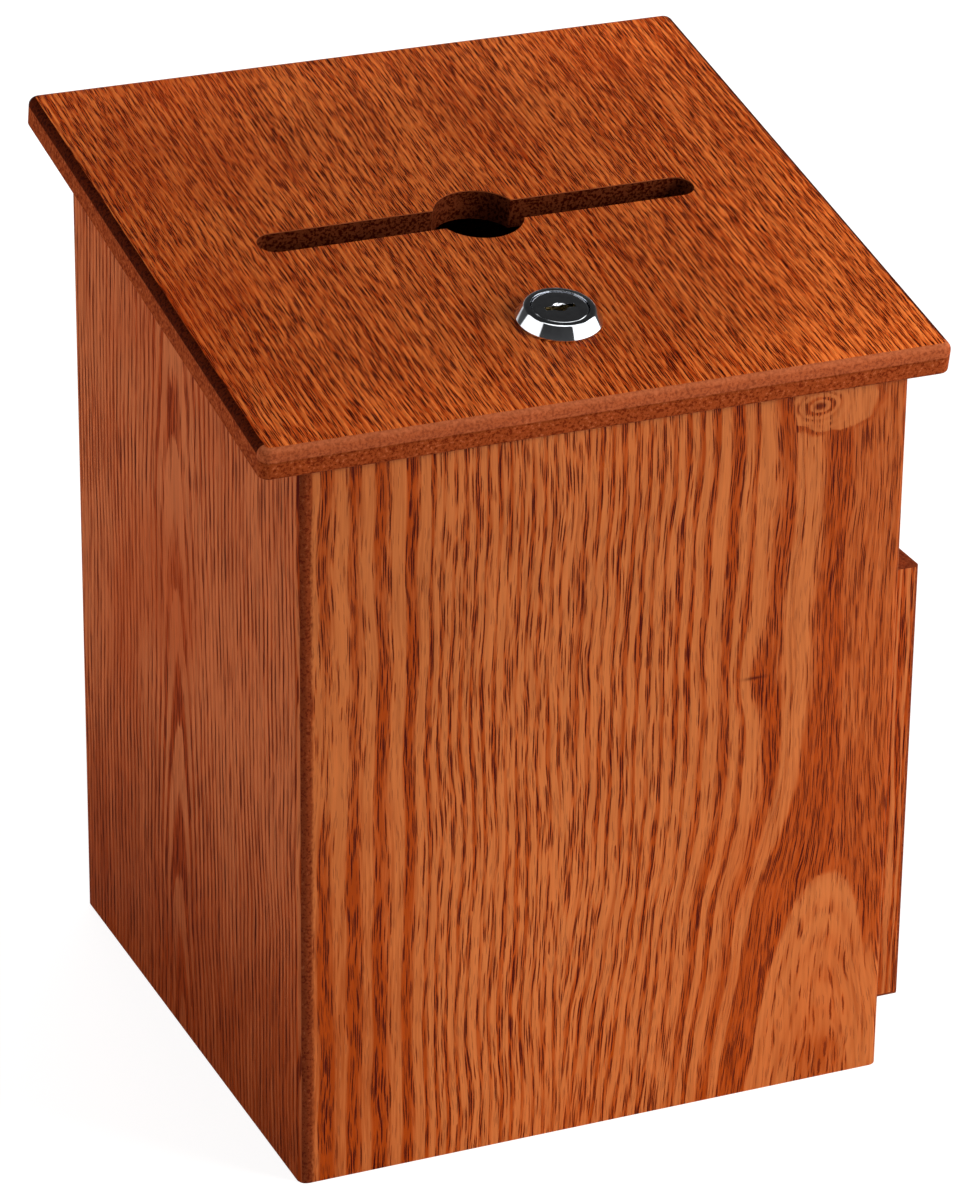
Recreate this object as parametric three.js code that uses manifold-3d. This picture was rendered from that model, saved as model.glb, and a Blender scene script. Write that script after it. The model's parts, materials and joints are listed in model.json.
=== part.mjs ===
// Wooden donation box: a square MDF carcass with veneered faces, a sloping hinged lid with a ballot
// slot and a finger hole, a cam lock through the lid and a card pocket on the right-hand side.
// Millimetres. X to the right, Y from front to back, Z up. The origin is the middle of the footprint.

import * as THREE from 'three';
import { mergeVertices } from 'three/addons/utils/BufferGeometryUtils.js';
import Module from 'manifold-3d';

const wasm = await Module();
wasm.setup();

// Carcass.
const BODY_SIDE = 175;
const FRONT_HEIGHT = 210.8;
const SLOPE = THREE.MathUtils.degToRad(10.8);
const WALL = 9;
const CORNER_ROUND = 2.7;
const GLUE_LINE = 0.02;
const BASE_THICKNESS = 6;
const BLOCK_SIDE = 14;
const BLOCK_CHAMFER = 5;
const BLOCK_HEIGHT = 32;

// Lid, measured along the slope from the plane of the carcass's front face.
const LID_WIDTH = 196.8;
const LID_LENGTH = 186.4;
const LID_THICKNESS = 9;
const LID_FRONT_OVERHANG = 2.2;
const LID_TOP_ROUND = 2.5;
const LID_BOTTOM_ROUND = 1;
const LID_CORNER_ROUND = 3;
const LID_GAP = 0.3;
const SLOT_LENGTH = 128.5;
const SLOT_WIDTH = 9.8;
const SLOT_DISTANCE = 92.4;
const FINGER_HOLE_RADIUS = 12.5;

// Card pocket on the right-hand wall.
const POCKET_LENGTH = 155;
const POCKET_BOTTOM = 14.6;
const POCKET_TOP = 148.7;
const POCKET_DEPTH = 11.2;
const POCKET_BOARD = 5;
const POCKET_ROUND = 2;

// Butt hinges let into the lid and the back wall's top edge, with their barrels behind the back wall.
const HINGE_OFFSET = 52;
const HINGE_LENGTH = 30;
const LEAF_WIDTH = 10;
const LEAF_THICKNESS = 0.9;
const LEAF_SPACING = 0.2;
const BARREL_RADIUS = 1.9;
const BARREL_SETBACK = 2.25;
const BARREL_CLEARANCE = 0.4;
const KNUCKLE_GAP = 0.2;
const PIN_RADIUS = 0.9;
const PIN_BORE_RADIUS = 1;
const PIN_HEAD_RADIUS = 1.4;
const PIN_HEAD_LENGTH = 0.5;
const MORTISE_CLEARANCE = 0.15;
const LEAF_SCREW_SPACING = 19;

// Cam lock, measured up from the lid's underside.
const LOCK_DISTANCE = 37;
const TRIM_RADIUS = 11.8;
const TRIM_LIP = 0.6;
const TRIM_TOP_RADIUS = 9.5;
const TRIM_HEIGHT = 4;
const TRIM_EDGE = 0.35;
const SEAT_GAP = 0.1;
const HOUSING_RADIUS = 9.4;
const HOUSING_BOTTOM = -8;
const HOUSING_FLAT = 8.4;
const LOCK_BORE_RADIUS = 9.7;
const FACE_RADIUS = 7.8;
const FACE_THICKNESS = 1.3;
const FACE_RECESS = 0.2;
const PLUG_RADIUS = 6.1;
const PLUG_CLEARANCE = 0.15;
const KEYWAY_LENGTH = 8.5;
const KEYWAY_WIDTH = 1.6;
const KEYWAY_WARD = 1.1;
const KEYWAY_END = 0;
const TAIL_SIDE = 6.6;
const TAIL_BOTTOM = -10.2;
const NUT_FLATS = 24;
const NUT_THICKNESS = 3.5;
const NUT_BORE_RADIUS = 9.6;
const CAM_TOP = -8.4;
const CAM_THICKNESS = 2;
const CAM_HUB_RADIUS = 8.5;
const CAM_WIDTH = 13;
const CAM_REACH = 27;
const CAM_TIP_ROUND = 3;
const WAFER_COUNT = 5;
const WAFER_PITCH = 2.1;
const WAFER_LOWEST = 1.3;
const WAFER_LENGTH = 10.2;
const WAFER_WIDTH = 6;
const WAFER_THICKNESS = 0.7;
const WAFER_CLEARANCE = 0.12;

// Strike plate on the front wall, over the turned cam's tip.
const STRIKE_WIDTH = 26;
const STRIKE_THICKNESS = 1.5;
const STRIKE_REACH = 20;
const STRIKE_LEG_BOTTOM = 181;
const STRIKE_SCREW_HEIGHT = 188;
const STRIKE_SCREW_SPACING = 14;
const STRIKE_CLEARANCE = 0.3;

// Fasteners: countersunk wood screws and the cam's machine screw.
const SCREW_CLEARANCE = 0.12;
const LEAF_SCREW = { headRadius: 1.7, headHeight: 0.85, shankRadius: 0.85, length: 7 };
const STRIKE_SCREW = { headRadius: 2.4, headHeight: 1.4, shankRadius: 1.2, length: 8 };
const SCREW_POINT = 1.4;
const CROSS_WIDTH = 0.45;
const CAM_WASHER = { radius: 4.6, bore: 2.2, thickness: 0.8 };
const CAM_SCREW = { headRadius: 3.8, headHeight: 2, shankRadius: 1.9, length: 9 };

// Facet counts.
const ROUND_OVER_STEPS = 6;
const CORNER_STEPS = 6;
const FINE_STEPS = 64;
const PLUG_STEPS = 48;
const SMALL_STEPS = 24;
const SCREW_STEPS = 16;
const MERGE_DISTANCE = 1e-4;
const REACH = 400;

// Worked-out places.
const HALF = BODY_SIDE / 2;
const INNER = HALF - WALL;
const LID_BACK = LID_LENGTH - LID_FRONT_OVERHANG;
const PIVOT_DISTANCE = BODY_SIDE / Math.cos(SLOPE) + BARREL_SETBACK;
const PIVOT_HEIGHT = -LID_GAP / 2;
const POCKET_OUTER = HALF + POCKET_DEPTH;
const LID_TOP_SEAT = LID_THICKNESS + SEAT_GAP;

const VENEER = { color: 0xa5521f, roughness: 0.42, metalness: 0 };
const FIBREBOARD = { color: 0x7d3616, roughness: 0.55, metalness: 0 };
const CHROME = { color: 0xd6d8da, roughness: 0.12, metalness: 1 };
const ZINC = { color: 0xa9a8a2, roughness: 0.4, metalness: 1 };
const BRASS = { color: 0xb99a56, roughness: 0.35, metalness: 1 };

// ---------------------------------------------------------------- solids

function toSolid(geometry) {
  const bare = geometry.clone();
  bare.deleteAttribute('normal');
  bare.deleteAttribute('uv');
  const merged = mergeVertices(bare, MERGE_DISTANCE);
  const vertProperties = new Float32Array(merged.getAttribute('position').array);
  const triVerts = new Uint32Array(merged.getIndex().array);
  return new wasm.Manifold(new wasm.Mesh({ numProp: 3, vertProperties, triVerts }));
}

function toGeometry(solid) {
  const { vertProperties, triVerts } = solid.getMesh();
  const geometry = new THREE.BufferGeometry();
  geometry.setAttribute('position', new THREE.BufferAttribute(new Float32Array(vertProperties), 3));
  geometry.setIndex(new THREE.BufferAttribute(new Uint32Array(triVerts), 1));
  geometry.computeVertexNormals();
  return geometry;
}

function combine(operation, first, others) {
  let solid = toSolid(first);
  for (const other of others) {
    solid = solid[operation](toSolid(other));
  }
  return toGeometry(solid);
}

const join = (first, ...others) => combine('add', first, others);
const cut = (first, ...others) => combine('subtract', first, others);
const common = (first, ...others) => combine('intersect', first, others);

// A shape's outline as a list of [u, v] corners.
function outline(corners) {
  return new THREE.Shape(corners.map(([u, v]) => new THREE.Vector2(u, v)));
}

// Upright prism over a plan shape.
function prismZ(shape, low, high) {
  const options = { depth: high - low, bevelEnabled: false, curveSegments: CORNER_STEPS };
  return new THREE.ExtrudeGeometry(shape, options).translate(0, 0, low);
}

const ALONG_X = new THREE.Matrix4().makeBasis(
  new THREE.Vector3(0, 1, 0),
  new THREE.Vector3(0, 0, 1),
  new THREE.Vector3(1, 0, 0),
);
const ALONG_Y = new THREE.Matrix4().makeBasis(
  new THREE.Vector3(0, 0, 1),
  new THREE.Vector3(1, 0, 0),
  new THREE.Vector3(0, 1, 0),
);

// Prism along X over a shape given in (y, z).
const prismX = (shape, low, high) => prismZ(shape, low, high).applyMatrix4(ALONG_X);

// Prism along Y over a shape given in (z, x).
const prismY = (shape, low, high) => prismZ(shape, low, high).applyMatrix4(ALONG_Y);

// Box between two corners.
function block([x0, y0, z0], [x1, y1, z1]) {
  const geometry = new THREE.BoxGeometry(x1 - x0, y1 - y0, z1 - z0);
  return geometry.translate((x0 + x1) / 2, (y0 + y1) / 2, (z0 + z1) / 2);
}

// Solid of revolution about Z from [radius, height] points that run up the outside.
function turned(points, steps) {
  const profile = points.map(([radius, height]) => new THREE.Vector2(radius, height));
  return new THREE.LatheGeometry(profile, steps).rotateX(Math.PI / 2);
}

function rod(radius, low, high, steps) {
  return turned([[0, low], [radius, low], [radius, high], [0, high]], steps);
}

// Rod along X.
const rodX = (radius, low, high, steps) => rod(radius, low, high, steps).applyMatrix4(ALONG_X);

// Rectangle with one radius for each corner, anticlockwise from the corner that is low in u and v.
function roundedRectangle(u0, v0, u1, v1, [lowLow, highLow, highHigh, lowHigh]) {
  const corners = [
    [u0 + lowLow, v0 + lowLow, lowLow, 2],
    [u1 - highLow, v0 + highLow, highLow, 3],
    [u1 - highHigh, v1 - highHigh, highHigh, 0],
    [u0 + lowHigh, v1 - lowHigh, lowHigh, 1],
  ];
  const points = [];
  for (const [u, v, radius, quarter] of corners) {
    const steps = radius > 0 ? CORNER_STEPS : 0;
    for (let step = 0; step <= steps; step += 1) {
      const angle = (quarter + step / CORNER_STEPS) * Math.PI / 2;
      points.push([u + radius * Math.cos(angle), v + radius * Math.sin(angle)]);
    }
  }
  return outline(points);
}

function material({ color, roughness, metalness }) {
  return new THREE.MeshStandardMaterial({ color, roughness, metalness });
}

function mesh(name, geometry, finish) {
  const piece = new THREE.Mesh(geometry, material(finish));
  piece.name = name;
  return piece;
}

// ---------------------------------------------------------------- the lid's tilted frame

// Local X is the box's X, local Y runs up the slope and local Z stands square to the lid.
function tiltedGroup() {
  const group = new THREE.Group();
  group.position.set(0, -HALF, FRONT_HEIGHT);
  group.rotation.x = SLOPE;
  group.updateMatrix();
  return group;
}

const LID_TO_BODY = tiltedGroup().matrix;

// A point of the lid's frame as the box's (y, z).
function lidPoint(distance, height) {
  const point = new THREE.Vector3(0, distance, height).applyMatrix4(LID_TO_BODY);
  return [point.y, point.z];
}

// Height of a plane parallel to the lid where it crosses the depth y.
function heightUnderLid(y, offset) {
  return FRONT_HEIGHT + (y + HALF) * Math.tan(SLOPE) + offset / Math.cos(SLOPE);
}

// ---------------------------------------------------------------- screws

// Countersunk wood screw with its head's top at the origin and its point down.
function screwBlank({ headRadius, headHeight, shankRadius, length }, extra) {
  const neck = shankRadius + extra;
  return turned([
    [0, -length - extra],
    [neck / 2, -length + SCREW_POINT / 2 - extra],
    [neck, -length + SCREW_POINT],
    [neck, -headHeight - extra],
    [headRadius + extra, 0],
    [headRadius + extra, extra],
    [0, extra],
  ], SCREW_STEPS);
}

function screwShape(size) {
  const arm = size.headRadius * 0.6;
  const half = CROSS_WIDTH / 2;
  const floor = -size.headHeight * 0.7;
  const across = block([-arm, -half, floor], [arm, half, 1]);
  const along = block([-half, -arm, floor], [half, arm, 1]);
  return cut(screwBlank(size, 0), across, along);
}

// Room for a screw, open above its head.
function screwHole(size) {
  const top = rod(size.headRadius + SCREW_CLEARANCE, 0, 4, SCREW_STEPS);
  return join(screwBlank(size, SCREW_CLEARANCE), top);
}

// ---------------------------------------------------------------- carcass

// Everything under the lid, less a thin gap.
function underLid() {
  const shape = outline([
    [-REACH, -REACH],
    [REACH, -REACH],
    [REACH, heightUnderLid(REACH, -LID_GAP)],
    [-REACH, heightUnderLid(-REACH, -LID_GAP)],
  ]);
  return prismX(shape, -REACH, REACH);
}

// The four walls as one tube with rounded outside corners.
function carcassTube() {
  const round = CORNER_ROUND;
  const shape = roundedRectangle(-HALF, -HALF, HALF, HALF, [round, round, round, round]);
  const cavity = block([-INNER, -INNER, -REACH], [INNER, INNER, REACH]);
  return cut(common(prismZ(shape, 0, REACH), underLid()), cavity);
}

// One wall: the tube's part inside a mitred plan, turned from the front to its side.
function wall(tube, quarterTurns) {
  const far = HALF + WALL;
  const near = INNER - WALL;
  const mitre = outline([
    [-far + GLUE_LINE, -far],
    [far - GLUE_LINE, -far],
    [near - GLUE_LINE, -near],
    [-near + GLUE_LINE, -near],
  ]);
  const wedge = prismZ(mitre, -1, REACH).rotateZ(quarterTurns * Math.PI / 2);
  return common(tube, wedge);
}

function strikeScrewPlaces() {
  return [-1, 1].map((side) => ({
    side,
    x: side * STRIKE_SCREW_SPACING / 2,
    y: -INNER + STRIKE_THICKNESS,
    z: STRIKE_SCREW_HEIGHT,
  }));
}

// A strike screw's geometry turned to drive forwards, at its place.
function atStrike(geometry, { x, y, z }) {
  return geometry.rotateX(-Math.PI / 2).translate(x, y, z);
}

function addCarcass(group) {
  const tube = carcassTube();
  const strikeHoles = strikeScrewPlaces().map((place) => atStrike(screwHole(STRIKE_SCREW), place));
  const hingeCuts = hingePlaces().flatMap(({ x }) => backWallCuts(x));
  group.add(mesh('front_wall', cut(wall(tube, 0), ...strikeHoles), VENEER));
  group.add(mesh('right_wall', wall(tube, 1), VENEER));
  group.add(mesh('back_wall', cut(wall(tube, 2), ...hingeCuts), VENEER));
  group.add(mesh('left_wall', wall(tube, 3), VENEER));
  group.add(mesh('base_board', block([-INNER, -INNER, 0], [INNER, INNER, BASE_THICKNESS]), FIBREBOARD));
  addGlueBlocks(group);
}

// Chamfered blocks that tie the base board to the walls in the four inside corners.
function addGlueBlocks(group) {
  const corners = [
    ['glue_block_front_right', 1, -1],
    ['glue_block_front_left', -1, -1],
    ['glue_block_back_right', 1, 1],
    ['glue_block_back_left', -1, 1],
  ];
  const near = INNER - BLOCK_SIDE;
  for (const [name, sideX, sideY] of corners) {
    const shape = outline([
      [sideX * INNER, sideY * INNER],
      [sideX * near, sideY * INNER],
      [sideX * near, sideY * (near + BLOCK_CHAMFER)],
      [sideX * (near + BLOCK_CHAMFER), sideY * near],
      [sideX * INNER, sideY * near],
    ]);
    const geometry = prismZ(shape, BASE_THICKNESS, BASE_THICKNESS + BLOCK_HEIGHT);
    group.add(mesh(name, geometry, FIBREBOARD));
  }
}

// ---------------------------------------------------------------- card pocket

// The pocket's outside, with its free edges rounded over.
function pocketEnvelope() {
  const end = POCKET_LENGTH / 2;
  const round = POCKET_ROUND;
  const plan = roundedRectangle(HALF, -end, POCKET_OUTER, end, [0, round, round, 0]);
  const front = roundedRectangle(POCKET_BOTTOM, HALF, POCKET_TOP, POCKET_OUTER, [0, 0, 0, round]);
  const side = roundedRectangle(-end, POCKET_BOTTOM, end, POCKET_TOP, [round, round, 0, 0]);
  const upright = prismZ(plan, POCKET_BOTTOM, POCKET_TOP);
  return common(upright, prismY(front, -end, end), prismX(side, HALF, POCKET_OUTER));
}

// Four boards mitred together along the vertical corners and the bottom edges.
function addPocket(group) {
  const end = POCKET_LENGTH / 2;
  const board = POCKET_BOARD;
  const gap = GLUE_LINE;
  const low = POCKET_BOTTOM;
  const high = POCKET_TOP;
  const outer = POCKET_OUTER;
  const inner = outer - board;
  const envelope = pocketEnvelope();

  const facePlan = outline([
    [outer, -end + gap],
    [outer, end - gap],
    [inner, end - board - gap],
    [inner, -end + board + gap],
  ]);
  const faceFront = outline([
    [low + gap, outer],
    [high, outer],
    [high, inner],
    [low + board + gap, inner],
  ]);
  const face = common(envelope, prismZ(facePlan, low, high), prismY(faceFront, -end, end));
  group.add(mesh('pocket_face', face, VENEER));

  for (const [name, side] of [['pocket_front_strip', -1], ['pocket_back_strip', 1]]) {
    const plan = outline([
      [HALF, side * end],
      [outer - gap, side * end],
      [inner - gap, side * (end - board)],
      [HALF, side * (end - board)],
    ]);
    const elevation = outline([
      [side * end, low + gap],
      [side * (end - board), low + board + gap],
      [side * (end - board), high],
      [side * end, high],
    ]);
    const strip = common(envelope, prismZ(plan, low, high), prismX(elevation, HALF, outer));
    group.add(mesh(name, strip, VENEER));
  }

  const floorSide = outline([
    [-end + gap, low],
    [end - gap, low],
    [end - board - gap, low + board],
    [-end + board + gap, low + board],
  ]);
  const floorFront = outline([
    [low, HALF],
    [low + board, HALF],
    [low + board, inner - gap],
    [low, outer - gap],
  ]);
  const floor = common(envelope, prismX(floorSide, HALF, outer), prismY(floorFront, -end, end));
  group.add(mesh('pocket_floor_strip', floor, VENEER));
}

// ---------------------------------------------------------------- hinges

function hingePlaces() {
  return [
    { side: 'left', x: -HINGE_OFFSET },
    { side: 'right', x: HINGE_OFFSET },
  ];
}

// Places of a leaf's two screws in the hinge's frame.
const LEAF_SCREW_DEPTH = -(LEAF_WIDTH + BARREL_SETBACK) / 2;
const LEAF_SCREW_X = [-LEAF_SCREW_SPACING / 2, LEAF_SCREW_SPACING / 2];
const LEAF_OUTER = LEAF_SPACING / 2 + LEAF_THICKNESS;

// Moves geometry made in a hinge's frame, with its origin on the pin, to the lid's frame.
const atHinge = (geometry, x) => geometry.translate(x, PIVOT_DISTANCE, PIVOT_HEIGHT);

// The screws of a leaf: the fixed leaf's go down and the lid leaf's go up.
function leafScrew(geometry, x, isLidLeaf) {
  const turnedOver = isLidLeaf ? geometry.rotateX(Math.PI) : geometry;
  const height = isLidLeaf ? LEAF_SPACING / 2 : -LEAF_SPACING / 2;
  return turnedOver.translate(x, LEAF_SCREW_DEPTH, height);
}

// Mortise for the fixed leaf and its screw holes, in the box's frame.
function backWallCuts(x) {
  const half = HINGE_LENGTH / 2 + MORTISE_CLEARANCE;
  const floor = -LEAF_OUTER - MORTISE_CLEARANCE;
  const mortise = block([-half, -LEAF_WIDTH - MORTISE_CLEARANCE, floor], [half, WALL, WALL]);
  const holes = LEAF_SCREW_X.map((screwX) => leafScrew(screwHole(LEAF_SCREW), screwX, false));
  return [mortise, ...holes].map((geometry) => atHinge(geometry, x).applyMatrix4(LID_TO_BODY));
}

// Mortise for the lid leaf, a round channel for the barrel and the screw holes, in the lid's frame.
function lidHingeCuts(x) {
  const half = HINGE_LENGTH / 2 + MORTISE_CLEARANCE;
  const ceiling = LEAF_OUTER + MORTISE_CLEARANCE;
  const mortise = block([-half, -LEAF_WIDTH - MORTISE_CLEARANCE, -WALL], [half, 0, ceiling]);
  const channelEnd = half + PIN_HEAD_LENGTH + BARREL_CLEARANCE;
  const channel = rodX(BARREL_RADIUS + BARREL_CLEARANCE, -channelEnd, channelEnd, SMALL_STEPS);
  const holes = LEAF_SCREW_X.map((screwX) => leafScrew(screwHole(LEAF_SCREW), screwX, true));
  return [mortise, channel, ...holes].map((geometry) => atHinge(geometry, x));
}

// A leaf: its plate, rolled knuckles between the given stretches of the pin, and countersunk holes.
function leaf(isLidLeaf, stretches) {
  const low = isLidLeaf ? LEAF_SPACING / 2 : -LEAF_OUTER;
  const high = low + LEAF_THICKNESS;
  const half = HINGE_LENGTH / 2;
  const plate = block([-half, -LEAF_WIDTH, low], [half, -BARREL_SETBACK, high]);
  const tabs = stretches.map(([start, end]) => block([start, -BARREL_SETBACK - 1, low], [end, 0, high]));
  const knuckles = stretches.map(([start, end]) => rodX(BARREL_RADIUS, start, end, SMALL_STEPS));
  const bore = rodX(PIN_BORE_RADIUS, -HINGE_LENGTH, HINGE_LENGTH, SMALL_STEPS);
  const holes = LEAF_SCREW_X.map((screwX) => leafScrew(screwHole(LEAF_SCREW), screwX, isLidLeaf));
  return cut(join(plate, ...tabs, ...knuckles), bore, ...holes);
}

function hingePin() {
  const half = HINGE_LENGTH / 2 + KNUCKLE_GAP;
  const shank = rodX(PIN_RADIUS, -half, half, SMALL_STEPS);
  const headEnd = half + PIN_HEAD_LENGTH;
  const leftHead = rodX(PIN_HEAD_RADIUS, -headEnd, -half, SMALL_STEPS);
  const rightHead = rodX(PIN_HEAD_RADIUS, half, headEnd, SMALL_STEPS);
  return join(shank, leftHead, rightHead);
}

function addHinge(lidFrame, { side, x }) {
  const hinge = new THREE.Group();
  hinge.position.set(x, PIVOT_DISTANCE, PIVOT_HEIGHT);
  const end = HINGE_LENGTH / 2;
  const third = HINGE_LENGTH / 6;
  const clear = KNUCKLE_GAP / 2;
  const outerKnuckles = [[-end, -third - clear], [third + clear, end]];
  const middleKnuckle = [[-third + clear, third - clear]];
  hinge.add(mesh(`hinge_${side}_fixed_leaf`, leaf(false, outerKnuckles), BRASS));
  hinge.add(mesh(`hinge_${side}_lid_leaf`, leaf(true, middleKnuckle), BRASS));
  hinge.add(mesh(`hinge_${side}_pin`, hingePin(), BRASS));
  for (const isLidLeaf of [false, true]) {
    const leafName = isLidLeaf ? 'lid' : 'fixed';
    LEAF_SCREW_X.forEach((screwX, index) => {
      const name = `hinge_${side}_${leafName}_screw_${index + 1}`;
      hinge.add(mesh(name, leafScrew(screwShape(LEAF_SCREW), screwX, isLidLeaf), BRASS));
    });
  }
  lidFrame.add(hinge);
}

// ---------------------------------------------------------------- lid

// A slab whose edges are rounded over by the given radius at both faces.
function roundedSlab(low, high, round) {
  const half = LID_WIDTH / 2;
  const corner = LID_CORNER_ROUND;
  const shape = roundedRectangle(
    -half, -LID_FRONT_OVERHANG, half, LID_BACK, [corner, corner, corner, corner],
  );
  const geometry = new THREE.ExtrudeGeometry(shape, {
    depth: high - low - 2 * round,
    bevelSize: round,
    bevelOffset: -round,
    bevelThickness: round,
    bevelSegments: ROUND_OVER_STEPS,
    curveSegments: CORNER_STEPS,
  });
  return geometry.translate(0, 0, low + round);
}

function slotCuts() {
  const half = SLOT_LENGTH / 2;
  const round = SLOT_WIDTH / 2;
  const shape = new THREE.Shape();
  shape.absarc(half - round, 0, round, -Math.PI / 2, Math.PI / 2, false);
  shape.absarc(-half + round, 0, round, Math.PI / 2, 1.5 * Math.PI, false);
  const slot = prismZ(shape, -LID_THICKNESS, 2 * LID_THICKNESS).translate(0, SLOT_DISTANCE, 0);
  const hole = rod(FINGER_HOLE_RADIUS, -LID_THICKNESS, 2 * LID_THICKNESS, FINE_STEPS);
  return [slot, hole.translate(0, SLOT_DISTANCE, 0)];
}

function addLid(lidFrame) {
  const topRounded = roundedSlab(-LID_THICKNESS, LID_THICKNESS, LID_TOP_ROUND);
  const bottomRounded = roundedSlab(0, 3 * LID_THICKNESS, LID_BOTTOM_ROUND);
  const slab = common(topRounded, bottomRounded);
  const lockBore = rod(LOCK_BORE_RADIUS, -LID_THICKNESS, 2 * LID_THICKNESS, PLUG_STEPS);
  const hingeCuts = hingePlaces().flatMap(({ x }) => lidHingeCuts(x));
  const lid = cut(slab, ...slotCuts(), lockBore.translate(0, LOCK_DISTANCE, 0), ...hingeCuts);
  lidFrame.add(mesh('lid', lid, VENEER));
}

// ---------------------------------------------------------------- cam lock

function lockHousing() {
  const bore = PLUG_RADIUS + PLUG_CLEARANCE;
  const recess = FACE_RADIUS + PLUG_CLEARANCE;
  const seat = LID_TOP_SEAT;
  const top = seat + TRIM_HEIGHT;
  const recessFloor = top - FACE_RECESS - FACE_THICKNESS - SEAT_GAP;
  const body = turned([
    [bore, HOUSING_BOTTOM],
    [HOUSING_RADIUS, HOUSING_BOTTOM],
    [HOUSING_RADIUS, seat],
    [TRIM_RADIUS, seat],
    [TRIM_RADIUS, seat + TRIM_LIP],
    [TRIM_TOP_RADIUS + TRIM_EDGE, top - TRIM_EDGE],
    [TRIM_TOP_RADIUS - TRIM_EDGE, top],
    [recess, top],
    [recess, recessFloor],
    [bore, recessFloor],
    [bore, HOUSING_BOTTOM],
  ], FINE_STEPS);
  const flats = [-1, 1].map((side) => {
    const near = side * HOUSING_FLAT;
    const far = side * 2 * HOUSING_RADIUS;
    return block([Math.min(near, far), -WALL * 2, -REACH], [Math.max(near, far), WALL * 2, seat]);
  });
  return cut(body, ...flats);
}

// Keyway: a long slit with a wider middle, and a ward on each side of it.
function keyway() {
  const half = KEYWAY_LENGTH / 2;
  const narrow = KEYWAY_WIDTH / 2;
  const wide = narrow + KEYWAY_WARD / 2;
  const step = KEYWAY_LENGTH / 6;
  const shape = outline([
    [-half, -narrow],
    [-step, -narrow],
    [-step, -wide],
    [step, -wide],
    [step * 1.5, -narrow],
    [half, -narrow],
    [half, narrow],
    [step, narrow],
    [step, wide],
    [-step, wide],
    [-step * 1.5, narrow],
    [-half, narrow],
  ]);
  return prismZ(shape, KEYWAY_END, 2 * LID_TOP_SEAT);
}

const waferHeights = Array.from({ length: WAFER_COUNT }, (_, index) => WAFER_LOWEST + index * WAFER_PITCH);

function lockPlug() {
  const faceTop = LID_TOP_SEAT + TRIM_HEIGHT - FACE_RECESS;
  const shoulder = HOUSING_BOTTOM - SEAT_GAP;
  const core = turned([
    [0, shoulder],
    [PLUG_RADIUS, shoulder],
    [PLUG_RADIUS, faceTop - FACE_THICKNESS],
    [FACE_RADIUS, faceTop - FACE_THICKNESS],
    [FACE_RADIUS, faceTop],
    [0, faceTop],
  ], PLUG_STEPS);
  const tail = TAIL_SIDE / 2;
  const square = block([-tail, -tail, TAIL_BOTTOM], [tail, tail, shoulder + 1]);
  const threadTop = TAIL_BOTTOM + CAM_SCREW.length;
  const threadBore = rod(CAM_SCREW.shankRadius + SCREW_CLEARANCE, -REACH, threadTop, SMALL_STEPS);
  const halfLength = PLUG_RADIUS + 1;
  const halfWidth = WAFER_WIDTH / 2 + WAFER_CLEARANCE;
  const halfHeight = WAFER_THICKNESS / 2 + WAFER_CLEARANCE;
  const waferSlots = waferHeights.map((height) => block(
    [-halfLength, -halfWidth, height - halfHeight],
    [halfLength, halfWidth, height + halfHeight],
  ));
  return cut(join(core, square), threadBore, keyway(), ...waferSlots);
}

// Wafer tumbler: a thin plate with a window for the key's blade.
function wafer() {
  const shape = outline([
    [-WAFER_LENGTH / 2, -WAFER_WIDTH / 2],
    [WAFER_LENGTH / 2, -WAFER_WIDTH / 2],
    [WAFER_LENGTH / 2, WAFER_WIDTH / 2],
    [-WAFER_LENGTH / 2, WAFER_WIDTH / 2],
  ]);
  const windowLength = KEYWAY_LENGTH / 2 - 0.5;
  const windowWidth = KEYWAY_WIDTH / 2 + 0.2;
  shape.holes.push(outline([
    [-windowLength, -windowWidth],
    [windowLength, -windowWidth],
    [windowLength, windowWidth],
    [-windowLength, windowWidth],
  ]));
  return prismZ(shape, -WAFER_THICKNESS / 2, WAFER_THICKNESS / 2);
}

function lockNut() {
  const corner = NUT_FLATS / 2 / Math.cos(Math.PI / 6);
  const corners = Array.from({ length: 6 }, (_, index) => {
    const angle = (index * Math.PI) / 3;
    return [corner * Math.cos(angle), corner * Math.sin(angle)];
  });
  const hexagon = prismZ(outline(corners), -SEAT_GAP - NUT_THICKNESS, -SEAT_GAP);
  return cut(hexagon, rod(NUT_BORE_RADIUS, -WALL, WALL, PLUG_STEPS));
}

// Cam: a hub round the plug's square tail and an arm that points to the right when unlocked.
function camArm() {
  const half = CAM_WIDTH / 2;
  const round = CAM_TIP_ROUND;
  const open = Math.asin(half / CAM_HUB_RADIUS);
  const shape = new THREE.Shape();
  shape.absarc(0, 0, CAM_HUB_RADIUS, open, 2 * Math.PI - open, false);
  shape.absarc(CAM_REACH - round, -half + round, round, -Math.PI / 2, 0, false);
  shape.absarc(CAM_REACH - round, half - round, round, 0, Math.PI / 2, false);
  const side = TAIL_SIDE / 2 + PLUG_CLEARANCE;
  shape.holes.push(outline([[-side, -side], [side, -side], [side, side], [-side, side]]));
  return prismZ(shape, CAM_TOP - CAM_THICKNESS, CAM_TOP);
}

function camWasher() {
  const top = CAM_TOP - CAM_THICKNESS - SEAT_GAP;
  const bottom = top - CAM_WASHER.thickness;
  return turned([
    [CAM_WASHER.bore, bottom],
    [CAM_WASHER.radius, bottom],
    [CAM_WASHER.radius, top],
    [CAM_WASHER.bore, top],
    [CAM_WASHER.bore, bottom],
  ], SMALL_STEPS);
}

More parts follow.
